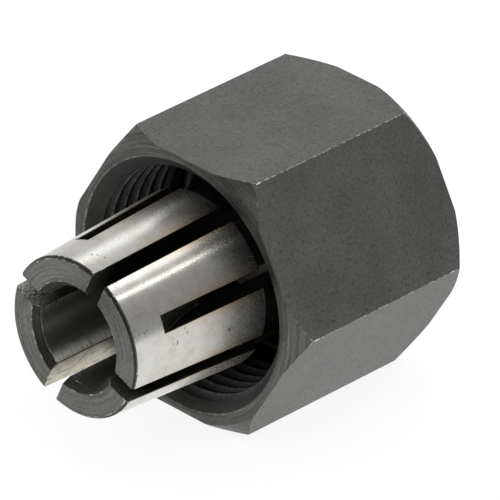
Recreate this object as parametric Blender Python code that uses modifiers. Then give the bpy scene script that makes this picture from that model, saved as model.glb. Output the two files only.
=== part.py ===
"""Router collet assembly: a hexagon collet nut that holds a slotted, tapered collet.

Three pieces. The nut is turned and bored from hexagon bar. The collet is turned, bored
and sawn with two sets of slots, and its front taper goes into the router's spindle. A
snap ring of round wire sits in a groove inside the nut and keeps the collet captive.

The assembly lies on one flat of the nut. +Z is up, and the collet's nose points to -Y.
Every turned piece is drawn as a profile of (radius, height) pairs, where the height runs
from the nut's rear face, 0, towards the collet's nose. The axis carries them to their
place: its local +Z is the world's -Y.
"""

import math

import bmesh
import bpy
from mathutils import Matrix, Vector

for old_object in list(bpy.data.objects):
    bpy.data.objects.remove(old_object, do_unlink=True)

MM = 0.001

# Nut. Its bore is drawn at the crests of the thread that screws onto the spindle.
THREAD_DIAMETER = 20.0 * MM
THREAD_PITCH = 1.25 * MM
THREAD_DEPTH_PER_PITCH = 0.54125
NUT_WALL = 1.0 * MM
NUT_LENGTH = 19.0 * MM
FRONT_CHAMFER = 1.35 * MM
REAR_CHAMFER = 1.55 * MM
MOUTH_FLARE = 0.45 * MM
REAR_HOLE_CHAMFER = 0.4 * MM
REAR_HOLE_DEPTH = 1.2 * MM
SEAT_HALF_ANGLE = math.radians(30)

# Collet, from the nose to the tail. The shank of the router bit goes into its bore.
SHANK_DIAMETER = 8.0 * MM
NOSE_REACH = 11.4 * MM
NOSE_WALL = 2.55 * MM
NOSE_CHAMFER = 0.2 * MM
NOSE_BORE_CHAMFER = 0.55 * MM
TAPER_HALF_ANGLE = math.radians(3.15)
TAPER_LENGTH = 13.05 * MM
TAPER_SHOULDER = 0.25 * MM
NECK_WALL = 2.5 * MM
HEAD_LAND = 1.6 * MM
HEAD_EDGE = 0.25 * MM
TAIL_WALL = 1.9 * MM
TAIL_EDGE = 0.2 * MM
TAIL_BORE_CHAMFER = 0.5 * MM
TAIL_RECESS = 0.4 * MM

# Clearances between the collet and the nut
HEAD_CLEARANCE = 0.425 * MM
TAIL_CLEARANCE = 0.4 * MM
SEAT_GAP = 0.35 * MM

# Collet, saw slots. Half of them open at the nose and half at the tail, and each one ends
# in the arc that the slitting saw leaves. The bridges are measured on the outside.
SLOTS_PER_END = 4
SLOT_WIDTH = 1.4 * MM
FIRST_SLOT_ANGLE = math.radians(22.5)
NOSE_BRIDGE = 3.2 * MM
TAIL_BRIDGE = 3.4 * MM
SAW_RADIUS = 25.0 * MM
SAW_OVERRUN = 1.0 * MM
SAW_ARC_STEPS = 14

# Snap ring of round wire, and its groove
WIRE_DIAMETER = 1.2 * MM
RING_GAP = 0.3 * MM
RING_GRIP = 0.35 * MM
RING_OPENING = math.radians(24)
RING_POINTS = 49

# How round the turned pieces are, and how far the cutters run past the solids
TURN_STEPS = 96
SHARP_ANGLE = math.radians(25)
CUT_MARGIN = 1.0 * MM

# The nut's sides, its mouth and the crests of its thread
across_flats = THREAD_DIAMETER + 2 * NUT_WALL
hex_corner_radius = across_flats / 2 / math.cos(math.pi / 6)
thread_crest_radius = THREAD_DIAMETER / 2 - THREAD_DEPTH_PER_PITCH * THREAD_PITCH
mouth_radius = THREAD_DIAMETER / 2 + MOUTH_FLARE
mouth_depth = mouth_radius - thread_crest_radius

# The collet's radii
bore_radius = SHANK_DIAMETER / 2
nose_radius = bore_radius + NOSE_WALL
taper_start_radius = nose_radius + TAPER_LENGTH * math.tan(TAPER_HALF_ANGLE)
neck_radius = bore_radius + NECK_WALL
head_radius = thread_crest_radius - HEAD_CLEARANCE
tail_radius = bore_radius + TAIL_WALL

# The cone in the nut, and the collet's cone at an even gap from it
rear_hole_radius = tail_radius + TAIL_CLEARANCE
seat_slope = math.tan(SEAT_HALF_ANGLE)
seat_end = REAR_HOLE_DEPTH + (thread_crest_radius - rear_hole_radius) / seat_slope
cone_shift = SEAT_GAP / math.sin(SEAT_HALF_ANGLE)
cone_start = REAR_HOLE_DEPTH + cone_shift - TAIL_CLEARANCE / seat_slope
cone_end = cone_start + (head_radius - tail_radius) / seat_slope

# Heights along the collet, and the ring that lies in front of its head
nose_end = NUT_LENGTH + NOSE_REACH
taper_start = nose_end - NOSE_CHAMFER - TAPER_LENGTH
collar_height = cone_end + HEAD_LAND
ring_height = collar_height + RING_GAP + WIRE_DIAMETER / 2
ring_radius = head_radius - RING_GRIP + WIRE_DIAMETER / 2
groove_radius = ring_radius + WIRE_DIAMETER / 2 + RING_GAP
groove_half_width = WIRE_DIAMETER / 2 + RING_GAP

parts = bpy.data.collections.new("router_collet_assembly")
cutters = bpy.data.collections.new("cutters")
bpy.context.scene.collection.children.link(parts)
bpy.context.scene.collection.children.link(cutters)

axis = bpy.data.objects.new("collet_axis", None)
axis.location = (0, nose_end / 2, across_flats / 2)
axis.rotation_euler = (math.pi / 2, 0, 0)
parts.objects.link(axis)


def steel(name, colour, roughness):
    """A metal with the given base colour and roughness."""
    material = bpy.data.materials.new(name)
    material.use_nodes = True
    shader = material.node_tree.nodes["Principled BSDF"]
    shader.inputs["Base Color"].default_value = (*colour, 1)
    shader.inputs["Metallic"].default_value = 1.0
    shader.inputs["Roughness"].default_value = roughness
    return material


def add_to(collection, name, mesh):
    """A new object on the collet's axis."""
    placed = bpy.data.objects.new(name, mesh)
    placed.parent = axis
    collection.objects.link(placed)
    return placed


def add_cutter(name, shape):
    """A hidden object that a Boolean modifier uses, made from a bmesh."""
    mesh = bpy.data.meshes.new(name)
    shape.to_mesh(mesh)
    shape.free()
    cutter = add_to(cutters, name, mesh)
    cutter.hide_render = True
    cutter.display_type = 'WIRE'
    return cutter


def boolean(target, operation, cutter):
    """Combine the target with the cutter."""
    modifier = target.modifiers.new(cutter.name, 'BOOLEAN')
    modifier.operation = operation
    modifier.solver = 'EXACT'
    modifier.object = cutter


def add_turned(name, outline, material):
    """A turned piece from its outline, which starts at the top and goes down the outside."""
    mesh = bpy.data.meshes.new(name)
    corners = [(radius, 0, height) for radius, height in outline]
    edges = [(i, (i + 1) % len(corners)) for i in range(len(corners))]
    mesh.from_pydata(corners, edges, [])
    mesh.materials.append(material)
    piece = add_to(parts, name, mesh)
    screw = piece.modifiers.new("turning", 'SCREW')
    screw.axis = 'Z'
    screw.angle = 2 * math.pi
    screw.steps = TURN_STEPS
    screw.render_steps = TURN_STEPS
    screw.merge_threshold = 0.00001
    return piece


def add_nut():
    """Hexagon bar with turned ends, a threaded mouth and a cone that leads to the rear hole."""
    turned_radius = hex_corner_radius + CUT_MARGIN
    groove_top = ring_height + groove_half_width
    groove_bottom = ring_height - groove_half_width
    outline = [
        (mouth_radius, NUT_LENGTH),
        (hex_corner_radius - FRONT_CHAMFER, NUT_LENGTH),
        (turned_radius, NUT_LENGTH - FRONT_CHAMFER - CUT_MARGIN),
        (turned_radius, REAR_CHAMFER + CUT_MARGIN),
        (hex_corner_radius - REAR_CHAMFER, 0),
        (rear_hole_radius + REAR_HOLE_CHAMFER, 0),
        (rear_hole_radius, REAR_HOLE_CHAMFER),
        (rear_hole_radius, REAR_HOLE_DEPTH),
        (thread_crest_radius, seat_end),
        (thread_crest_radius, groove_bottom),
        (groove_radius, groove_bottom),
        (groove_radius, groove_top),
        (thread_crest_radius, groove_top),
        (thread_crest_radius, NUT_LENGTH - mouth_depth),
    ]
    nut = add_turned("collet_nut", outline, steel("blackened_steel", (0.055, 0.055, 0.053), 0.5))

    hexagon = bmesh.new()
    bar_length = NUT_LENGTH + 2 * CUT_MARGIN
    place = Matrix.Translation((0, 0, NUT_LENGTH / 2)) @ Matrix.Rotation(math.pi / 6, 4, 'Z')
    bmesh.ops.create_cone(hexagon, cap_ends=True, segments=6, radius1=hex_corner_radius,
                          radius2=hex_corner_radius, depth=bar_length, matrix=place)
    boolean(nut, 'INTERSECT', add_cutter("hexagon_bar", hexagon))
    return nut


def saw_cut_outline(opening, end, edge_radius):
    """Side view of a saw cut, as (radius, height) pairs: open at one end, and round at the
    other, where its arc meets the outside of the collet at the edge radius."""
    floor_radius = bore_radius - SAW_OVERRUN
    outer_radius = head_radius + CUT_MARGIN
    centre_radius = floor_radius + SAW_RADIUS
    towards = math.copysign(1, end - opening)
    reach = math.sqrt(SAW_RADIUS ** 2 - (centre_radius - edge_radius) ** 2)
    centre_height = end - towards * reach
    widest = math.acos((centre_radius - outer_radius) / SAW_RADIUS)
    outline = [(outer_radius, opening), (floor_radius, opening)]
    for i in range(SAW_ARC_STEPS + 1):
        turn = widest * i / SAW_ARC_STEPS
        outline.append((centre_radius - SAW_RADIUS * math.cos(turn),
                        centre_height + towards * SAW_RADIUS * math.sin(turn)))
    return outline


def add_saw_cuts():
    """Cutter for both sets of slots, evenly spaced and opening at the nose and the tail by turns."""
    nose_side = nose_end - NOSE_BRIDGE
    tail_side = TAIL_RECESS + TAIL_BRIDGE
    taper_radius = nose_radius + (NOSE_BRIDGE - NOSE_CHAMFER) * math.tan(TAPER_HALF_ANGLE)
    cone_radius = tail_radius + (tail_side - cone_start) * seat_slope
    open_tail = saw_cut_outline(TAIL_RECESS - CUT_MARGIN, nose_side, taper_radius)
    open_nose = saw_cut_outline(nose_end + CUT_MARGIN, tail_side, cone_radius)
    cuts = bmesh.new()
    for i in range(2 * SLOTS_PER_END):
        outline = open_nose if i % 2 else open_tail
        turn = Matrix.Rotation(FIRST_SLOT_ANGLE + i * math.pi / SLOTS_PER_END, 4, 'Z')
        left = [cuts.verts.new(turn @ Vector((r, -SLOT_WIDTH / 2, h))) for r, h in outline]
        right = [cuts.verts.new(turn @ Vector((r, SLOT_WIDTH / 2, h))) for r, h in outline]
        cuts.faces.new(left)
        cuts.faces.new(right)
        for j in range(len(outline)):
            cuts.faces.new((left[j - 1], left[j], right[j], right[j - 1]))
    bmesh.ops.recalc_face_normals(cuts, faces=cuts.faces)
    return add_cutter("saw_cuts", cuts)


def add_collet():
    """Ground front taper, neck, and a head whose rear cone the nut closes on."""
    outline = [
        (bore_radius + NOSE_BORE_CHAMFER, nose_end),
        (nose_radius - NOSE_CHAMFER, nose_end),
        (nose_radius, nose_end - NOSE_CHAMFER),
        (taper_start_radius, taper_start),
        (neck_radius, taper_start - TAPER_SHOULDER),
        (neck_radius, collar_height),
        (head_radius - HEAD_EDGE, collar_height),
        (head_radius, collar_height - HEAD_EDGE),
        (head_radius, cone_end),
        (tail_radius, cone_start),
        (tail_radius, TAIL_RECESS + TAIL_EDGE),
        (tail_radius - TAIL_EDGE, TAIL_RECESS),
        (bore_radius + TAIL_BORE_CHAMFER, TAIL_RECESS),
        (bore_radius, TAIL_RECESS + TAIL_BORE_CHAMFER),
        (bore_radius, nose_end - NOSE_BORE_CHAMFER),
    ]
    collet = add_turned("collet", outline, steel("ground_steel", (0.56, 0.55, 0.53), 0.3))
    boolean(collet, 'DIFFERENCE', add_saw_cuts())
    return collet


def add_snap_ring():
    """Round wire bent to an open ring, in the nut's groove and in front of the collet's head."""
    path = bpy.data.curves.new("snap_ring", 'CURVE')
    path.dimensions = '3D'
    path.bevel_depth = WIRE_DIAMETER / 2
    path.bevel_resolution = 2
    path.use_fill_caps = True
    path.materials.append(steel("spring_steel", (0.2, 0.2, 0.2), 0.4))
    wire = path.splines.new('POLY')
    wire.points.add(RING_POINTS - 1)
    first_angle = RING_OPENING / 2
    step = (2 * math.pi - RING_OPENING) / (RING_POINTS - 1)
    for i, point in enumerate(wire.points):
        angle = first_angle + i * step
        point.co = (ring_radius * math.cos(angle), ring_radius * math.sin(angle), ring_height, 1)
    add_to(parts, "snap_ring", path)


def apply_and_shade(piece):
    """Apply the modifiers, then shade the round surfaces smooth and leave the edges crisp."""
    depsgraph = bpy.context.evaluated_depsgraph_get()
    mesh = bpy.data.meshes.new_from_object(piece.evaluated_get(depsgraph))
    piece.modifiers.clear()
    piece.data = mesh
    mesh.shade_smooth()
    mesh.set_sharp_from_angle(angle=SHARP_ANGLE)


apply_and_shade(add_nut())
apply_and_shade(add_collet())
add_snap_ring()
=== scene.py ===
import math

import bmesh
import bpy
from mathutils import Matrix, Vector


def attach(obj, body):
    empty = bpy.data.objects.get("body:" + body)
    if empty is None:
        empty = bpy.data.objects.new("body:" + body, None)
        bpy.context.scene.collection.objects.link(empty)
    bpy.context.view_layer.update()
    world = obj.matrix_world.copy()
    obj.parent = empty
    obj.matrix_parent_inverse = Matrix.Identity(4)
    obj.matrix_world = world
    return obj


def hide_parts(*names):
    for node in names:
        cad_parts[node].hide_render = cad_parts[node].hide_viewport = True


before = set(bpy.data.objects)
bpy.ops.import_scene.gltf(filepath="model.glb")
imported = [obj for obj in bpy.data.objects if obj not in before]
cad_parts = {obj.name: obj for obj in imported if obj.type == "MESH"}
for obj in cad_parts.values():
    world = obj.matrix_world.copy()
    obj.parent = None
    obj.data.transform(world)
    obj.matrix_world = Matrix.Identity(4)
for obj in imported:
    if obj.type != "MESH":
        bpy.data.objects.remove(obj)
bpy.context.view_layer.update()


# Collet nut
# One piece of hexagon bar, turned at both ends, bored, threaded at the mouth and grooved for
# the snap ring, then blackened. It screws onto the spindle and draws the collet into it.

# Sizes are in millimetres. Heights run from the nut's rear face, depths from its front face.
MM = 0.001
ACROSS_FLATS = 22.0
FLAT_RADIUS = ACROSS_FLATS / 2
CORNER_RADIUS = FLAT_RADIUS / math.cos(math.radians(30))
NUT_LENGTH = 19.0
OVERALL_LENGTH = 30.4
FRONT_CHAMFER = 1.35
REAR_CHAMFER = 1.55
EDGE_ROUND = 0.09
CORNER_ROUND = 0.13
THREAD_RADIUS = 10.0
THREAD_PITCH = 1.25
THREAD_DEPTH_PER_PITCH = 0.54125
THREAD_CREST = THREAD_RADIUS - THREAD_DEPTH_PER_PITCH * THREAD_PITCH
THREAD_START = 0.1
THREAD_END = 8.4
THREAD_FADE = 1.0
MOUTH_RADIUS = 10.45
RING_GROOVE_RADIUS = 10.05
RING_GROOVE_HEIGHTS = (8.0, 9.8)
SEAT_HEIGHTS = (1.2, 6.437)
REAR_HOLE_RADIUS = 6.3
REAR_HOLE_CHAMFER = 0.4
COLUMNS_PER_FLAT = 32

# One turn of the thread from crest to crest, as (part of the pitch, part of the depth)
THREAD_TURN = ((0.0, 0.0), (0.08, 0.0), (0.17, 0.0), (0.23, 0.0), (0.27, 0.05), (0.35, 0.31),
               (0.43, 0.56), (0.51, 0.82), (0.555, 0.95), (0.59, 1.0), (0.66, 1.0), (0.695, 0.95),
               (0.74, 0.82), (0.82, 0.56), (0.90, 0.31), (0.98, 0.05))

# Wear runs from 0, still black, to 1, rubbed to bare steel
CHAMFER_WEAR = 1.0
FACE_WEAR = 0.3
MID_EDGE_WEAR = 0.3
MID_EDGE_REACH = 3.5
CREST_WEAR = 0.07

# The rounded rims of the mouth and of the rear hole, as (radius, distance from their face, wear)
MOUTH_RIM = ((MOUTH_RADIUS + 0.07, 0.0, 0.0), (MOUTH_RADIUS + 0.01, 0.02, 0.2),
             (MOUTH_RADIUS - 0.06, 0.08, 0.0))
REAR_HOLE_RIM = ((REAR_HOLE_RADIUS, REAR_HOLE_CHAMFER + 0.04, 0.0),
                 (REAR_HOLE_RADIUS + 0.02, REAR_HOLE_CHAMFER - 0.02, 0.6),
                 (REAR_HOLE_RADIUS + REAR_HOLE_CHAMFER - 0.03, 0.03, 0.0),
                 (REAR_HOLE_RADIUS + REAR_HOLE_CHAMFER + 0.03, 0.0, 0.6),
                 (REAR_HOLE_RADIUS + REAR_HOLE_CHAMFER + 0.15, 0.0, 0.0))


def on_axis(radius, angle, height):
    """A point of a turned piece in metres. The axis lies along Y, with the nose at low Y."""
    return Vector((radius * math.cos(angle), OVERALL_LENGTH / 2 - height,
                   FLAT_RADIUS + radius * math.sin(angle))) * MM


def hexagon_columns():
    """(angle, radius, wear) round the bar, with its corners rounded."""
    columns = []
    inner = FLAT_RADIUS - CORNER_ROUND
    half_side = inner * math.tan(math.radians(30))
    widest = math.atan(half_side / FLAT_RADIUS)
    for flat in range(6):
        middle = math.radians(30 + 60 * flat)
        for i in range(COLUMNS_PER_FLAT + 1):
            turn = widest * (2 * i / COLUMNS_PER_FLAT - 1)
            columns.append((middle + turn, FLAT_RADIUS / math.cos(turn), 0.0))
        for degrees in (15, 30, 45):
            turn = math.radians(degrees)
            tip = Vector((inner, half_side)) + CORNER_ROUND * Vector((math.cos(turn), math.sin(turn)))
            columns.append((middle + math.atan2(tip.y, tip.x), tip.length, 1.0))
    return columns


def rounded_end(radius, circle):
    """(radius, depth, wear) where a side of the bar meets the end's chamfer and the end face.
    The corners' tips are knocked more than the middle of a side."""
    tip = (radius - FLAT_RADIUS) / (CORNER_RADIUS - FLAT_RADIUS)
    knocked = 0.05 + 0.95 * tip ** 1.5
    low = radius - EDGE_ROUND
    side_depth = max(EDGE_ROUND, low - circle + EDGE_ROUND * math.sqrt(2))
    face_radius = min(low, circle - EDGE_ROUND * math.sqrt(2) + EDGE_ROUND)
    points = []
    for centre, first, worn in (((low, side_depth), 0, CHAMFER_WEAR),
                                ((face_radius, EDGE_ROUND), 45, FACE_WEAR)):
        for degrees in (0, 15, 30, 45):
            turn = math.radians(first + degrees)
            wear = worn * knocked * (1.0 - abs(degrees - 22.5) / 22.5)
            points.append((centre[0] + EDGE_ROUND * math.cos(turn),
                           centre[1] - EDGE_ROUND * math.sin(turn), wear))
    return points


def thread_rows(angle):
    """(radius, depth, wear) down the mouth's countersink and the thread, at one angle."""
    rows = []
    for turn in range(math.ceil(THREAD_END / THREAD_PITCH) + 1):
        for along, deep in THREAD_TURN:
            depth = (turn + along - angle / (2 * math.pi)) * THREAD_PITCH
            depth = min(max(depth, THREAD_START), THREAD_END)
            fade = min(1.0, (THREAD_END - depth) / THREAD_FADE)
            cut = THREAD_CREST + deep * fade * (THREAD_RADIUS - THREAD_CREST)
            countersink = MOUTH_RADIUS - depth
            on_crest = deep <= 0.05 and cut > countersink
            rows.append((max(cut, countersink), depth, CREST_WEAR if on_crest else 0.0))
    rows.append((THREAD_CREST, THREAD_END, 0.0))
    return rows


def nut_rows(angle, radius, wear):
    """One section of the nut as (radius, depth, wear), from its front edge through the bore and
    round the rear edge to the side, and the first and last row of its thread."""
    rows = rounded_end(radius, CORNER_RADIUS - FRONT_CHAMFER) + list(MOUTH_RIM)
    thread_first = len(rows)
    rows += thread_rows(angle)
    thread_last = len(rows) - 1
    groove_back, groove_front = (NUT_LENGTH - height for height in RING_GROOVE_HEIGHTS)
    seat_back, seat_front = (NUT_LENGTH - height for height in SEAT_HEIGHTS)
    rows += [(THREAD_CREST, groove_front, 0.0), (RING_GROOVE_RADIUS, groove_front, 0.0),
             (RING_GROOVE_RADIUS, groove_back, 0.0), (THREAD_CREST, groove_back, 0.0),
             (THREAD_CREST, seat_front, 0.0), (REAR_HOLE_RADIUS, seat_back, 0.0)]
    rear = list(REAR_HOLE_RIM) + rounded_end(radius, CORNER_RADIUS - REAR_CHAMFER)[::-1]
    rows += [(r, NUT_LENGTH - height, worn) for r, height, worn in rear]
    # The wear of a corner fades over three rows from either end
    last = len(rows) - 1
    rows = [(r, depth, max(worn, wear * (1 - min(i, last - i) / 3)))
            for i, (r, depth, worn) in enumerate(rows)]
    rows += [(radius, depth, wear * MID_EDGE_WEAR)
             for depth in (NUT_LENGTH - MID_EDGE_REACH, MID_EDGE_REACH)]
    return rows, thread_first, thread_last


columns = hexagon_columns()
nut_mesh = bmesh.new()
wear_layer = nut_mesh.verts.layers.float.new("worn")
vertices = []
for angle, radius, wear in columns:
    rows, thread_first, thread_last = nut_rows(angle, radius, wear)
    for r, depth, worn in rows:
        vertex = nut_mesh.verts.new(on_axis(r, angle, NUT_LENGTH - depth))
        vertex[wear_layer] = worn
        vertices.append(vertex)
row_count = len(rows)


def nut_vertex(column, row):
    """Past the last column the thread's rows move on by one turn."""
    if column < len(columns):
        return vertices[column * row_count + row]
    if thread_first <= row <= thread_last:
        row = max(thread_first, row - len(THREAD_TURN))
        if row > thread_last - len(THREAD_TURN) - 1:
            row = thread_last
    return vertices[row]


# The nut's materials, and the rows from which each goes on to the next row. The bored rows
# take in the thread, the ring's groove, the seat and the rear hole up to its chamfer.
FLAT, TURNED, BORED = range(3)
flat_rows = range(row_count - 3, row_count)
bored_rows = range(thread_first - 1, thread_last + 10)

for column in range(len(columns)):
    for row in range(row_count):
        below = (row + 1) % row_count
        around = [nut_vertex(column, row), nut_vertex(column + 1, row),
                  nut_vertex(column + 1, below), nut_vertex(column, below)]
        around = [vertex for i, vertex in enumerate(around) if vertex is not around[i - 1]]
        if len(around) > 2 and not nut_mesh.faces.get(around):
            face = nut_mesh.faces.new(around)
            if row in flat_rows:
                face.material_index = FLAT
            elif row in bored_rows:
                face.material_index = BORED
            else:
                face.material_index = TURNED
bmesh.ops.remove_doubles(nut_mesh, verts=nut_mesh.verts, dist=0.002 * MM)
bmesh.ops.dissolve_degenerate(nut_mesh, edges=nut_mesh.edges, dist=0.0005 * MM)
bmesh.ops.recalc_face_normals(nut_mesh, faces=nut_mesh.faces)


def piece_from(name, shape, sharp_degrees):
    """An object from a bmesh, smooth but for the edges sharper than an angle."""
    mesh = bpy.data.meshes.new(name)
    shape.to_mesh(mesh)
    shape.free()
    mesh.shade_smooth()
    mesh.set_sharp_from_angle(angle=math.radians(sharp_degrees))
    piece = bpy.data.objects.new(name, mesh)
    bpy.context.scene.collection.objects.link(piece)
    return piece


def shade_flats_flat(piece, name):
    """Lets a piece's large flat faces, and not its small ones, set how the edges are shaded."""
    even = piece.modifiers.new(name, 'WEIGHTED_NORMAL')
    even.keep_sharp = True
    even.weight = 90


nut = piece_from("nut_hexagon_body", nut_mesh, 32)
shade_flats_flat(nut, "flat_sides")


def linear(colour):
    """An sRGB colour, such as #808080, as the linear colour that a shader takes."""
    parts = [int(colour[i:i + 2], 16) / 255 for i in (1, 3, 5)]
    return tuple(c / 12.92 if c <= 0.04045 else ((c + 0.055) / 1.055) ** 2.4 for c in parts) + (1.0,)


def add_node(tree, kind, settings, links=None):
    """A node with its settings, by property, socket name or socket number, and its links."""
    node = tree.nodes.new(kind)
    for key, value in settings.items():
        if isinstance(key, int) or key in node.inputs:
            node.inputs[key].default_value = value
        else:
            setattr(node, key, value)
    for key, source in (links or {}).items():
        tree.links.new(source, node.inputs[key])
    return node


def metal(name):
    """A new metal, its node tree and its shader."""
    material = bpy.data.materials.new(name)
    material.use_nodes = True
    shader = material.node_tree.nodes['Principled BSDF']
    shader.inputs['Metallic'].default_value = 1.0
    return material, material.node_tree, shader


def turned_place(tree):
    """Where a point lies on a turned piece, in metres: out from the axis, along it, around it."""
    place = add_node(tree, 'ShaderNodeTexCoord', {}).outputs['Object']
    centred = add_node(tree, 'ShaderNodeVectorMath',
                       {'operation': 'SUBTRACT', 1: (0, 0, FLAT_RADIUS * MM)}, {0: place})
    apart = add_node(tree, 'ShaderNodeSeparateXYZ', {}, {0: centred.outputs[0]}).outputs
    across = add_node(tree, 'ShaderNodeCombineXYZ', {}, {'X': apart['X'], 'Y': apart['Z']})
    out = add_node(tree, 'ShaderNodeVectorMath', {'operation': 'LENGTH'}, {0: across.outputs[0]})
    turn = add_node(tree, 'ShaderNodeMath', {'operation': 'ARCTAN2'}, {0: apart['Z'], 1: apart['X']})
    around = add_node(tree, 'ShaderNodeMath', {'operation': 'MULTIPLY'},
                      {0: turn.outputs[0], 1: out.outputs['Value']})
    return add_node(tree, 'ShaderNodeCombineXYZ', {},
                    {'X': out.outputs['Value'], 'Y': apart['Y'], 'Z': around.outputs[0]}).outputs[0]


def tool_marks(tree, spacing, length, detail):
    """Fine lines about the axis, as a lathe tool, reamer or wheel leaves them. In millimetres."""
    drawn_out = add_node(tree, 'ShaderNodeMapping',
                         {'Scale': (1 / (spacing * MM), 1 / (spacing * MM), 1 / (length * MM))},
                         {'Vector': turned_place(tree)})
    return add_node(tree, 'ShaderNodeTexNoise', {'Scale': 1.0, 'Detail': detail, 'Roughness': 0.6},
                    {'Vector': drawn_out.outputs[0]}).outputs[0]


def along_lines(tree, shader, strength):
    """Draws the sheen out across lines that run round the axis."""
    around = add_node(tree, 'ShaderNodeTangent', {'direction_type': 'RADIAL', 'axis': 'Y'})
    tree.links.new(around.outputs[0], shader.inputs['Tangent'])
    shader.inputs['Anisotropic'].default_value = strength
    shader.inputs['Anisotropic Rotation'].default_value = 0.25


DIMPLE_DARK = "#262625"
BARE_STEEL = "#d6d5cf"
BARE_ROUGHNESS = 0.32


def blackened(name, light, dark, roughness, dimples, marks):
    """Steel blackened in hot salts: a matt, slightly cloudy charcoal with soft dimples where the
    bar was pickled, or with fine lines where it was turned, which draw its sheen out across
    them. It is rubbed bright where its edges are knocked. The marks are a height in millimetres."""
    material, tree, shader = metal(name)
    place = add_node(tree, 'ShaderNodeTexCoord', {}).outputs['Object']

    # Clouds a few millimetres wide, and a grain of 0.15 mm, coarser than the real oxide's
    cloud = add_node(tree, 'ShaderNodeTexNoise', {'Scale': 1 / (5 * MM), 'Detail': 3.0},
                     {'Vector': place})
    grain = add_node(tree, 'ShaderNodeTexNoise',
                     {'Scale': 1 / (0.15 * MM), 'Detail': 2.0, 'Roughness': 0.6}, {'Vector': place})
    tone = add_node(tree, 'ShaderNodeMath', {'operation': 'MULTIPLY_ADD', 1: 0.8},
                    {0: grain.outputs[0], 2: cloud.outputs[0]})
    if marks:
        lines = tool_marks(tree, 0.16, 6.0, 3.0)
        tone = add_node(tree, 'ShaderNodeMath', {'operation': 'MULTIPLY_ADD', 1: 60 * marks},
                        {0: lines, 2: tone.outputs[0]})
    middle = 0.9 + 30 * marks
    spread = add_node(tree, 'ShaderNodeMapRange', {'From Min': middle - 0.3, 'From Max': middle + 0.3},
                      {'Value': tone.outputs[0]})
    base = add_node(tree, 'ShaderNodeMix', {'data_type': 'RGBA', 6: linear(light), 7: linear(dark)},
                    {0: spread.outputs[0]})

    # Soft dimples about 0.2 mm across, darker where they are deep
    peel = add_node(tree, 'ShaderNodeTexNoise', {'Scale': 1 / (0.23 * MM), 'Detail': 2.0},
                    {'Vector': place})
    dimple = add_node(tree, 'ShaderNodeMapRange', {'From Min': 0.5, 'From Max': 0.7, 'To Max': dimples},
                      {'Value': peel.outputs[0]})
    dimpled = add_node(tree, 'ShaderNodeMix', {'data_type': 'RGBA', 7: linear(DIMPLE_DARK)},
                       {0: dimple.outputs[0], 6: base.outputs[2]})

    # Bare steel shows through on worn edges, in broken specks
    edge = add_node(tree, 'ShaderNodeAttribute', {'attribute_name': "worn"})
    specks = add_node(tree, 'ShaderNodeTexNoise',
                      {'Scale': 1 / (0.4 * MM), 'Detail': 4.0, 'Roughness': 0.7}, {'Vector': place})
    rub = add_node(tree, 'ShaderNodeMapRange', {'From Min': 0.45, 'From Max': 0.62, 'To Max': 1.5},
                   {'Value': specks.outputs[0]})
    bare = add_node(tree, 'ShaderNodeMath', {'operation': 'MULTIPLY', 'use_clamp': True},
                    {0: edge.outputs['Fac'], 1: rub.outputs[0]})
    colour = add_node(tree, 'ShaderNodeMix', {'data_type': 'RGBA', 7: linear(BARE_STEEL)},
                      {0: bare.outputs[0], 6: dimpled.outputs[2]})
    tree.links.new(colour.outputs[2], shader.inputs['Base Color'])

    grainy = add_node(tree, 'ShaderNodeMapRange',
                      {'From Min': 0.3, 'From Max': 0.7,
                       'To Min': roughness - 0.05, 'To Max': roughness + 0.05},
                      {'Value': grain.outputs[0]})
    rough = add_node(tree, 'ShaderNodeMix', {'data_type': 'FLOAT', 3: BARE_ROUGHNESS},
                     {0: bare.outputs[0], 2: grainy.outputs[0]})
    tree.links.new(rough.outputs[0], shader.inputs['Roughness'])

    # Heights in millimetres: the grain, the dimples, and the lathe's lines where there are any
    height = add_node(tree, 'ShaderNodeMath', {'operation': 'MULTIPLY', 1: 0.007},
                      {0: grain.outputs[0]})
    height = add_node(tree, 'ShaderNodeMath', {'operation': 'MULTIPLY_ADD', 1: -0.22 * dimples},
                      {0: peel.outputs[0], 2: height.outputs[0]})
    if marks:
        height = add_node(tree, 'ShaderNodeMath', {'operation': 'MULTIPLY_ADD', 1: marks},
                          {0: lines, 2: height.outputs[0]})
        along_lines(tree, shader, 0.6)
    bump = add_node(tree, 'ShaderNodeBump', {'Strength': 1.0, 'Distance': MM},
                    {'Height': height.outputs[0]})
    tree.links.new(bump.outputs[0], shader.inputs['Normal'])
    return material


nut.data.materials.append(blackened("blackened_bar_flats", "#6d6d6b", "#5d5d5b", 0.48, 0.37, 0.0))
nut.data.materials.append(blackened("blackened_turned_ends", "#62625f", "#484846", 0.42, 0.1, 0.038))
nut.data.materials.append(blackened("blackened_bore_and_thread", "#494948", "#373736", 0.5, 0.0, 0.008))
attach(nut, "nut_body")
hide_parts("collet_nut")


# Snap ring
# Round spring wire bent to an open ring. It sits in the groove inside the nut, in front of
# the collet's head, and so the nut pulls the collet out of the spindle's taper.

WIRE_RADIUS = 0.6
RING_RADIUS = 9.148
RING_HEIGHT = 8.901
RING_OPENING = math.radians(24)
RING_STEPS = 120
WIRE_STEPS = 20

# Each end of the wire is rounded off, as (distance past the end, part of the wire's radius)
WIRE_END = ((0.12, 0.97), (0.2, 0.86), (0.25, 0.7))

first = RING_OPENING / 2
last = 2 * math.pi - RING_OPENING / 2
sections = [(first - out / RING_RADIUS, WIRE_RADIUS * narrow) for out, narrow in reversed(WIRE_END)]
sections += [(first + (last - first) * i / RING_STEPS, WIRE_RADIUS) for i in range(RING_STEPS + 1)]
sections += [(last + out / RING_RADIUS, WIRE_RADIUS * narrow) for out, narrow in WIRE_END]

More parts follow.
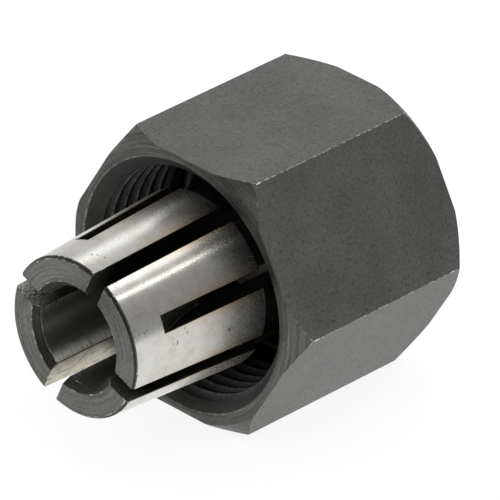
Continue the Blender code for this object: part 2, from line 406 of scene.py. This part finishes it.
ring_mesh = bmesh.new()
loops = []
for angle, wire_radius in sections:
    loop = []
    for k in range(WIRE_STEPS):
        turn = 2 * math.pi * k / WIRE_STEPS
        loop.append(ring_mesh.verts.new(on_axis(RING_RADIUS + wire_radius * math.cos(turn), angle,
                                                RING_HEIGHT + wire_radius * math.sin(turn))))
    loops.append(loop)
for one, other in zip(loops, loops[1:]):
    for k in range(WIRE_STEPS):
        beside = (k + 1) % WIRE_STEPS
        ring_mesh.faces.new((one[k], one[beside], other[beside], other[k]))
ring_mesh.faces.new(loops[0])
ring_mesh.faces.new(loops[-1])
bmesh.ops.recalc_face_normals(ring_mesh, faces=ring_mesh.faces)
ring = piece_from("snap_ring_wire", ring_mesh, 40)

# Drawn spring wire: dark, with a dull, slightly uneven sheen
wire, tree, shader = metal("drawn_spring_wire")
place = add_node(tree, 'ShaderNodeTexCoord', {}).outputs['Object']
drawn = add_node(tree, 'ShaderNodeTexNoise', {'Scale': 1 / (0.3 * MM), 'Detail': 3.0},
                 {'Vector': place})
tint = add_node(tree, 'ShaderNodeMix', {'data_type': 'RGBA', 6: linear("#454441"), 7: linear("#5c5a56")},
                {0: drawn.outputs[0]})
tree.links.new(tint.outputs[2], shader.inputs['Base Color'])
gloss = add_node(tree, 'ShaderNodeMapRange', {'To Min': 0.4, 'To Max': 0.6}, {'Value': drawn.outputs[0]})
tree.links.new(gloss.outputs[0], shader.inputs['Roughness'])
ring.data.materials.append(wire)
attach(ring, "ring_body")
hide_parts("snap_ring")


# Collet
# Turned, bored and hardened steel, sawn into eight springy strips by slots from both ends.
# Only the front taper is ground bright. The nut draws its head's rear cone forward.

BORE_RADIUS = 4.0
NOSE_RADIUS = 6.55
NOSE_CHAMFER = 0.2
NOSE_BORE_CHAMFER = 0.55
TAPER_START = 17.15
TAPER_START_RADIUS = 7.268
TAPER_SLOPE = math.tan(math.radians(3.15))
TAPER_SHOULDER = 0.25
NECK_RADIUS = 6.5
HEAD_RADIUS = 8.898
HEAD_FRONT = 8.001
HEAD_EDGE = 0.25
CONE_FRONT = 6.401
CONE_BACK = 1.207
CONE_SLOPE = math.tan(math.radians(30))
TAIL_RADIUS = 5.9
TAIL_END = 0.4
TAIL_EDGE = 0.2
TAIL_BORE_CHAMFER = 0.5
SLOTS = 8
SLOT_TURN = math.radians(45)
FIRST_SLOT = math.radians(22.5)
SLOT_HALF = 0.7
NOSE_SLOT_END = 3.8
TAIL_SLOT_END = 27.2
SAW_RADIUS = 25.0
SAW_OVERRUN = 1.0
SAW_ARC_STEPS = 12
SLOT_COLUMNS = 3
STRIP_COLUMNS = 10
COLUMNS_PER_SLOT = SLOT_COLUMNS + STRIP_COLUMNS


def opens_at_nose(slot):
    """Every other slot opens at the nose, and the rest open at the tail."""
    return slot % 2 == 1


def saw_arc(edge_radius, end, towards):
    """The round end of a saw cut as (radius, height), from the outside in to the bore."""
    saw_centre = BORE_RADIUS - SAW_OVERRUN + SAW_RADIUS

    def reach(radius):
        return math.sqrt(SAW_RADIUS ** 2 - (saw_centre - radius) ** 2)
    centre_height = end - towards * reach(edge_radius)
    radii = [edge_radius + (BORE_RADIUS - edge_radius) * i / SAW_ARC_STEPS
             for i in range(SAW_ARC_STEPS + 1)]
    return [(radius, centre_height + towards * reach(radius)) for radius in radii]


taper_radius = TAPER_START_RADIUS - (TAIL_SLOT_END - TAPER_START) * TAPER_SLOPE
tail_slot_arc = saw_arc(taper_radius, TAIL_SLOT_END, 1)
cone_radius = HEAD_RADIUS - (CONE_FRONT - NOSE_SLOT_END) * CONE_SLOPE
nose_slot_arc = saw_arc(cone_radius, NOSE_SLOT_END, -1)

# The collet's materials, and its section as (radius, height, surface up to the next point)
GROUND, BLACK, BORE, SAWN, EDGE, CHAMFER, BARE = range(7)
section = [
    (BORE_RADIUS + NOSE_BORE_CHAMFER, OVERALL_LENGTH, BLACK),
    (NOSE_RADIUS - NOSE_CHAMFER, OVERALL_LENGTH, CHAMFER),
    (NOSE_RADIUS, OVERALL_LENGTH - NOSE_CHAMFER, GROUND),
    (*tail_slot_arc[0], GROUND),
    (TAPER_START_RADIUS, TAPER_START, BLACK),
    (NECK_RADIUS, TAPER_START - TAPER_SHOULDER, BLACK),
    (NECK_RADIUS, HEAD_FRONT, BLACK),
    (HEAD_RADIUS - HEAD_EDGE, HEAD_FRONT, BLACK),
    (HEAD_RADIUS, HEAD_FRONT - HEAD_EDGE, BLACK),
    (HEAD_RADIUS, CONE_FRONT, BLACK),
    (*nose_slot_arc[0], BLACK),
    (TAIL_RADIUS, CONE_BACK, BLACK),
    (TAIL_RADIUS, TAIL_END + TAIL_EDGE, BLACK),
    (TAIL_RADIUS - TAIL_EDGE, TAIL_END, BLACK),
    (BORE_RADIUS + TAIL_BORE_CHAMFER, TAIL_END, BLACK),
    (BORE_RADIUS, TAIL_END + TAIL_BORE_CHAMFER, BORE),
    (*nose_slot_arc[-1], BORE),
    (*tail_slot_arc[-1], BORE),
    (BORE_RADIUS, OVERALL_LENGTH - NOSE_BORE_CHAMFER, CHAMFER),
]

# Where the slots end, as rows of the section: outside and in the bore
TAIL_SLOT_ROWS = (3, 17)
NOSE_SLOT_ROWS = (10, 16)

# The one wall painted pale as a painted reflection of the white table, as its slot and its place across
# the slot
BARE_WALL = (5, 0)

collet_mesh = bmesh.new()
by_slot = collet_mesh.verts.layers.float.new("by_slot")
by_nose_slot = collet_mesh.verts.layers.float.new("by_nose_slot")


def slot_row(slot, radius, height):
    """Four vertices across a slot, its sides being parallel."""
    middle = FIRST_SLOT + SLOT_TURN * slot
    made = []
    for across in (-1, -1 / 3, 1 / 3, 1):
        angle = middle + math.asin(across * SLOT_HALF / radius)
        vertex = collet_mesh.verts.new(on_axis(radius, angle, height))
        vertex[by_slot] = 1.0
        vertex[by_nose_slot] = 1.0 if opens_at_nose(slot) else 0.0
        made.append(vertex)
    return made


def strip_row(slot, radius, height):
    """The vertices between a slot and the next one."""
    half = math.asin(SLOT_HALF / radius)
    first = FIRST_SLOT + SLOT_TURN * slot + half
    made = []
    for i in range(1, STRIP_COLUMNS):
        share = i / STRIP_COLUMNS
        angle = first + (SLOT_TURN - 2 * half) * share
        vertex = collet_mesh.verts.new(on_axis(radius, angle, height))
        vertex[by_slot] = (2 * share - 1) ** 4
        vertex[by_nose_slot] = (1 - share if opens_at_nose(slot) else share) ** 3
        made.append(vertex)
    return made


rows = []
for radius, height, surface in section:
    row = []
    for slot in range(SLOTS):
        row += slot_row(slot, radius, height) + strip_row(slot, radius, height)
    rows.append(row)

column_count = SLOTS * COLUMNS_PER_SLOT
for j, (radius, height, surface) in enumerate(section):
    one, other = rows[j], rows[(j + 1) % len(section)]
    for column in range(column_count):
        slot, across = divmod(column, COLUMNS_PER_SLOT)
        if opens_at_nose(slot):
            solid = NOSE_SLOT_ROWS[0] <= j < NOSE_SLOT_ROWS[1]
        else:
            solid = not TAIL_SLOT_ROWS[0] <= j < TAIL_SLOT_ROWS[1]
        if across >= SLOT_COLUMNS or solid:
            beside = (column + 1) % column_count
            face = collet_mesh.faces.new((one[column], one[beside], other[beside], other[column]))
            face.material_index = surface

# The slots' walls, and the arcs that the saw leaves at their closed ends
for slot in range(SLOTS):
    if opens_at_nose(slot):
        outside, inside = NOSE_SLOT_ROWS
        arc = nose_slot_arc
        wall_rows = list(range(inside, len(section))) + list(range(outside + 1))
    else:
        outside, inside = TAIL_SLOT_ROWS
        arc = list(reversed(tail_slot_arc))
        wall_rows = list(range(outside, inside + 1))
    first = slot * COLUMNS_PER_SLOT
    in_slot = slice(first, first + SLOT_COLUMNS + 1)
    steps = [rows[wall_rows[-1]][in_slot]]
    steps += [slot_row(slot, radius, height) for radius, height in arc[1:-1]]
    steps.append(rows[wall_rows[0]][in_slot])
    for one, other in zip(steps, steps[1:]):
        for k in range(SLOT_COLUMNS):
            face = collet_mesh.faces.new((one[k], one[k + 1], other[k + 1], other[k]))
            face.material_index = SAWN
    for k in (0, SLOT_COLUMNS):
        wall = collet_mesh.faces.new([rows[j][first + k] for j in wall_rows]
                                     + [step[k] for step in steps[1:-1]])
        # One wall gets a pale material as a painted reflection of the white table
        wall.material_index = BARE if (slot, k) == BARE_WALL else SAWN
bmesh.ops.recalc_face_normals(collet_mesh, faces=collet_mesh.faces)

SHARP_DEGREES = 25
collet = piece_from("collet_slotted_body", collet_mesh, SHARP_DEGREES)
broken = collet.modifiers.new("edges_broken", 'BEVEL')
broken.width = 0.05 * MM
broken.segments = 2
broken.limit_method = 'ANGLE'
broken.angle_limit = math.radians(SHARP_DEGREES)
broken.material = EDGE
broken.use_clamp_overlap = True
shade_flats_flat(collet, "flat_faces")


def along_axis(tree):
    """How far along Y a point lies, in metres. The nose is at -15.2 mm."""
    place = add_node(tree, 'ShaderNodeTexCoord', {}).outputs['Object']
    return add_node(tree, 'ShaderNodeSeparateXYZ', {}, {0: place}).outputs['Y']


# Cylindrically ground taper: a bright satin, drawn out along the collet by the fine lines round
# it, with a straw tint left by the tempering beside its slots and a few dark nicks
ground, tree, shader = metal("ground_taper")
place = add_node(tree, 'ShaderNodeTexCoord', {}).outputs['Object']
haze = add_node(tree, 'ShaderNodeTexNoise', {'Scale': 1 / (1.4 * MM), 'Detail': 5.0, 'Roughness': 0.65},
                {'Vector': place})
warm = add_node(tree, 'ShaderNodeMapRange', {'From Min': 0.4, 'From Max': 0.72},
                {'Value': haze.outputs[0]})
base = add_node(tree, 'ShaderNodeMix', {'data_type': 'RGBA', 6: linear("#cccbc8"), 7: linear("#bcb8ae")},
                {0: warm.outputs[0]})

# The straw tint lies beside the slots, and only where the taper nears the nut
edge = add_node(tree, 'ShaderNodeAttribute', {'attribute_name': "by_slot"})
near_nut = add_node(tree, 'ShaderNodeMapRange', {'From Min': -12.5 * MM, 'From Max': -6 * MM},
                    {'Value': along_axis(tree)})
straw = add_node(tree, 'ShaderNodeMath', {'operation': 'MULTIPLY'},
                 {0: edge.outputs['Fac'], 1: near_nut.outputs[0]})
straw = add_node(tree, 'ShaderNodeMath', {'operation': 'MULTIPLY', 1: 0.65}, {0: straw.outputs[0]})
tempered = add_node(tree, 'ShaderNodeMix', {'data_type': 'RGBA', 7: linear("#b39360")},
                    {0: straw.outputs[0], 6: base.outputs[2]})

# Nicks 0.25 mm long round the taper and 0.1 mm wide, in loose groups
nick_place = add_node(tree, 'ShaderNodeMapping',
                      {'Scale': (1 / (0.5 * MM), 1 / (0.3 * MM), 1 / (0.75 * MM))},
                      {'Vector': turned_place(tree)})
cell = add_node(tree, 'ShaderNodeTexVoronoi', {'Scale': 1.0}, {'Vector': nick_place.outputs[0]})
patch = add_node(tree, 'ShaderNodeTexNoise', {'Scale': 1 / (1.6 * MM), 'Detail': 1.0},
                 {'Vector': place})
room = add_node(tree, 'ShaderNodeMath', {'operation': 'SUBTRACT', 1: 0.435}, {0: patch.outputs[0]})
nick = add_node(tree, 'ShaderNodeMath', {'operation': 'SUBTRACT'},
                {0: room.outputs[0], 1: cell.outputs[0]})
nick = add_node(tree, 'ShaderNodeMapRange', {'From Min': 0.0, 'From Max': 0.1, 'To Max': 0.7},
                {'Value': nick.outputs[0]})
colour = add_node(tree, 'ShaderNodeMix', {'data_type': 'RGBA', 7: linear("#4a4844")},
                  {0: nick.outputs[0], 6: tempered.outputs[2]})
tree.links.new(colour.outputs[2], shader.inputs['Base Color'])

# The wheel's grit leaves some grains brighter than others. It is drawn 0.08 mm wide, and the
# grinding lines 0.12 mm apart, both coarser than the real ones, so that they show
grit = add_node(tree, 'ShaderNodeTexNoise', {'Scale': 1 / (0.08 * MM), 'Detail': 2.0, 'Roughness': 0.6},
                {'Vector': place})
rough = add_node(tree, 'ShaderNodeMapRange',
                 {'From Min': 0.35, 'From Max': 0.65, 'To Min': 0.2, 'To Max': 0.29},
                 {'Value': grit.outputs[0]})
tree.links.new(rough.outputs[0], shader.inputs['Roughness'])
along_lines(tree, shader, 1.0)
height = add_node(tree, 'ShaderNodeMath', {'operation': 'MULTIPLY', 1: 0.003},
                  {0: tool_marks(tree, 0.12, 4.0, 3.0)})
height = add_node(tree, 'ShaderNodeMath', {'operation': 'MULTIPLY_ADD', 1: 0.002},
                  {0: grit.outputs[0], 2: height.outputs[0]})
bump = add_node(tree, 'ShaderNodeBump', {'Strength': 1.0, 'Distance': MM}, {'Height': height.outputs[0]})
tree.links.new(bump.outputs[0], shader.inputs['Normal'])


def rubbed(material, colour, share):
    """Lets a paler or a stained metal show through a surface, by a share from 0 to 1: real wear and
    stains, and also painted light.
    """
    tree = material.node_tree
    base = tree.nodes['Principled BSDF'].inputs['Base Color']
    mixed = add_node(tree, 'ShaderNodeMix', {'data_type': 'RGBA', 7: linear(colour)},
                     {0: share, 6: base.links[0].from_socket})
    tree.links.new(mixed.outputs[2], base)


# The nose and the neck are turned and blackened, the chamfers with a form tool that tore a little
turned = blackened("blackened_turned_collet", "#747471", "#52524f", 0.42, 0.0, 0.03)
torn = blackened("blackened_chamfer", "#454441", "#2e2d2b", 0.5, 0.3, 0.02)

# Reamed bore, painted paler toward the nose as painted light where light reaches in and left darker
# deeper in as painted shade, with bright smears beside the slots that open there
bore = blackened("blackened_reamed_bore", "#52514d", "#3a3936", 0.38, 0.0, 0.006)
tree = bore.node_tree
near_nose = add_node(tree, 'ShaderNodeMapRange', {'From Min': -5 * MM, 'From Max': -8 * MM},
                     {'Value': along_axis(tree)})
pale = add_node(tree, 'ShaderNodeMath', {'operation': 'MULTIPLY', 1: 0.45}, {0: near_nose.outputs[0]})
# Painted light: the bore is paler toward the open nose and darker deeper in
rubbed(bore, "#b4b3ac", pale.outputs[0])
edge = add_node(tree, 'ShaderNodeAttribute', {'attribute_name': "by_nose_slot"})
smear = add_node(tree, 'ShaderNodeMapRange', {'From Min': 0.3, 'From Max': 0.7},
                 {'Value': tool_marks(tree, 0.15, 1.2, 4.0)})
smear = add_node(tree, 'ShaderNodeMath', {'operation': 'MULTIPLY'},
                 {0: edge.outputs['Fac'], 1: smear.outputs[0]})
smear = add_node(tree, 'ShaderNodeMath', {'operation': 'MULTIPLY'},
                 {0: near_nose.outputs[0], 1: smear.outputs[0]})
smear = add_node(tree, 'ShaderNodeMath', {'operation': 'MULTIPLY', 1: 2.2, 'use_clamp': True},
                 {0: smear.outputs[0]})
rubbed(bore, "#dcdad4", smear.outputs[0])

# Sawn walls: black, painted paler toward the nose, a painted light where the bright room shows in them
sawn = blackened("blackened_sawn_wall", "#45443f", "#31302d", 0.42, 0.3, 0.0)
tree = sawn.node_tree
near_nose = add_node(tree, 'ShaderNodeMapRange',
                     {'From Min': -12.5 * MM, 'From Max': -14.5 * MM, 'To Max': 0.7},
                     {'Value': along_axis(tree)})
# Painted light: the walls turn paler near the nose, where light reaches in
rubbed(sawn, "#a9a8a1", near_nose.outputs[0])

# The one wall that faces the white table: a beige grey painted on as a painted reflection of the table,
# with stains drawn out along the cut
bare = blackened("sawn_wall_painted_reflection", "#cbc6b6", "#a59f8d", 0.4, 0.0, 0.0)
tree = bare.node_tree
place = add_node(tree, 'ShaderNodeTexCoord', {}).outputs['Object']
drawn_out = add_node(tree, 'ShaderNodeMapping',
                     {'Scale': (1 / (0.35 * MM), 1 / (1.2 * MM), 1 / (0.35 * MM))}, {'Vector': place})
stain = add_node(tree, 'ShaderNodeTexNoise', {'Scale': 1.0, 'Detail': 4.0, 'Roughness': 0.7},
                 {'Vector': drawn_out.outputs[0]})
stain = add_node(tree, 'ShaderNodeMapRange', {'From Min': 0.47, 'From Max': 0.68, 'To Max': 0.85},
                 {'Value': stain.outputs[0]})
rubbed(bare, "#5d594e", stain.outputs[0])

# Edges broken by hand: dark, with specks of bare steel near the nose, left by the burrs
edges = blackened("rubbed_edge", "#6b6a65", "#45443f", 0.36, 0.0, 0.0)
tree = edges.node_tree
place = add_node(tree, 'ShaderNodeTexCoord', {}).outputs['Object']
speck = add_node(tree, 'ShaderNodeTexNoise', {'Scale': 1 / (0.5 * MM), 'Detail': 3.0},
                 {'Vector': place})
speck = add_node(tree, 'ShaderNodeMapRange', {'From Min': 0.56, 'From Max': 0.7},
                 {'Value': speck.outputs[0]})
near_nose = add_node(tree, 'ShaderNodeMapRange', {'From Min': -13 * MM, 'From Max': -14.5 * MM},
                     {'Value': along_axis(tree)})
speck = add_node(tree, 'ShaderNodeMath', {'operation': 'MULTIPLY'},
                 {0: near_nose.outputs[0], 1: speck.outputs[0]})
rubbed(edges, "#c9c7c0", speck.outputs[0])

for material in (ground, turned, bore, sawn, edges, torn, bare):
    collet.data.materials.append(material)
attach(collet, "collet_body")
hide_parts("collet")


# Table, studio light and camera
# The assembly lies on one flat of the nut, on a plain white table under soft light. The camera's
# place and lens follow the photo's perspective.

TABLE_HALF = 600.0
TABLE_IN_FRONT = 60.0
TABLE_DROP = 0.02

table_mesh = bmesh.new()
table_centre = Vector((0, TABLE_HALF - TABLE_IN_FRONT, -TABLE_DROP)) * MM
bmesh.ops.create_grid(table_mesh, x_segments=1, y_segments=1, size=TABLE_HALF * MM,
                      matrix=Matrix.Translation(table_centre))
table = piece_from("table_top", table_mesh, 30)

# White table: it keeps the shadow, and glows evenly where the camera or a reflection meets it
white = bpy.data.materials.new("white_table")
white.use_nodes = True
tree = white.node_tree
shader = tree.nodes['Principled BSDF']
shader.inputs['Base Color'].default_value = linear("#ececea")
shader.inputs['Roughness'].default_value = 0.9
ray = add_node(tree, 'ShaderNodeLightPath', {}).outputs
seen = add_node(tree, 'ShaderNodeMath', {'operation': 'MULTIPLY_ADD', 1: 1.4},
                {0: ray['Is Glossy Ray'], 2: ray['Is Camera Ray']})
share = add_node(tree, 'ShaderNodeMath', {'operation': 'MULTIPLY', 1: 0.75}, {0: seen.outputs[0]})
glow = add_node(tree, 'ShaderNodeEmission', {'Color': (1, 1, 1, 1), 'Strength': 1.15})
both = add_node(tree, 'ShaderNodeMixShader', {},
                {0: share.outputs[0], 1: shader.outputs[0], 2: glow.outputs[0]})
tree.links.new(both.outputs[0], tree.nodes['Material Output'].inputs['Surface'])
table.data.materials.append(white)

# Soft white room, darker past the right of the table and on the camera's side. A darker
# side has its direction, the cosines between which it grows dark, and its level there.
ROOM_LEVEL = 0.85
DARK_SIDES = (((0.69, 0.65, 0.31), 0.82, 0.96, 0.35),
              ((-0.05, -0.9, 0.43), 0.6, 0.88, 0.12))

world = bpy.data.worlds.new("studio")
bpy.context.scene.world = world
world.use_nodes = True
tree = world.node_tree
sky = add_node(tree, 'ShaderNodeTexCoord', {}).outputs['Generated']
level = add_node(tree, 'ShaderNodeValue', {}).outputs[0]
level.default_value = ROOM_LEVEL
for direction, edge, middle, dark in DARK_SIDES:
    toward = add_node(tree, 'ShaderNodeVectorMath', {'operation': 'DOT_PRODUCT', 1: direction}, {0: sky})
    dim = add_node(tree, 'ShaderNodeMapRange',
                   {'interpolation_type': 'SMOOTHSTEP', 'From Min': edge, 'From Max': middle,
                    'To Min': 1.0, 'To Max': dark}, {'Value': toward.outputs['Value']})
    level = add_node(tree, 'ShaderNodeMath', {'operation': 'MULTIPLY'},
                     {0: dim.outputs[0], 1: level}).outputs[0]
ray = add_node(tree, 'ShaderNodeLightPath', {}).outputs
shown = add_node(tree, 'ShaderNodeMix', {'data_type': 'FLOAT', 3: 1.0},
                 {0: ray['Is Camera Ray'], 2: level})
background = tree.nodes['Background']
background.inputs['Color'].default_value = (1, 1, 1, 1)
tree.links.new(shown.outputs[0], background.inputs['Strength'])

# Strip lights that run along the collet, as (name, direction from its axis, length, width,
# radiance). Each one's power gives the radiance that it shows.
LIGHT_DISTANCE = 500.0
STRIP_LIGHTS = (("strip_light_right", (0.5, 0.0, 0.866), 1300.0, 22.0, 4.2),
                ("strip_light_above", (0.22, 0.0, 0.975), 1300.0, 100.0, 1.5),
                ("strip_light_left", (-0.65, 0.0, 0.76), 1300.0, 100.0, 1.25))

for name, direction, length, width, radiance in STRIP_LIGHTS:
    lamp = bpy.data.lights.new(name, 'AREA')
    lamp.shape = 'RECTANGLE'
    lamp.size = length * MM
    lamp.size_y = width * MM
    lamp.energy = radiance * math.pi * lamp.size * lamp.size_y
    light = bpy.data.objects.new(name, lamp)
    toward = Vector(direction).normalized()
    light.location = (Vector((0, 0, FLAT_RADIUS)) + toward * LIGHT_DISTANCE) * MM
    light.rotation_euler = toward.to_track_quat('Z', 'Y').to_euler()
    bpy.context.scene.collection.objects.link(light)

# The camera's own axes, the place in millimetres that it aims at, and its distance from it
CAMERA_RIGHT = Vector((0.71526, 0.69830, 0.02759))
CAMERA_UP = Vector((-0.36710, 0.34184, 0.86508))
CAMERA_BACK = Vector((0.59466, -0.62890, 0.50086))
CAMERA_AIM = Vector((2.27, 1.34, 13.06))
CAMERA_DISTANCE = 644.6
CAMERA_LENS = 611.0

camera_data = bpy.data.cameras.new("camera")
camera_data.lens = CAMERA_LENS
camera_data.sensor_width = 36.0
camera = bpy.data.objects.new("camera", camera_data)
facing = Matrix((CAMERA_RIGHT, CAMERA_UP, CAMERA_BACK)).transposed().to_4x4()
standing = (CAMERA_AIM + CAMERA_BACK * CAMERA_DISTANCE) * MM
camera.matrix_world = Matrix.Translation(standing) @ facing
bpy.context.scene.collection.objects.link(camera)
bpy.context.scene.camera = camera
bpy.context.scene.view_settings.view_transform = 'Standard'
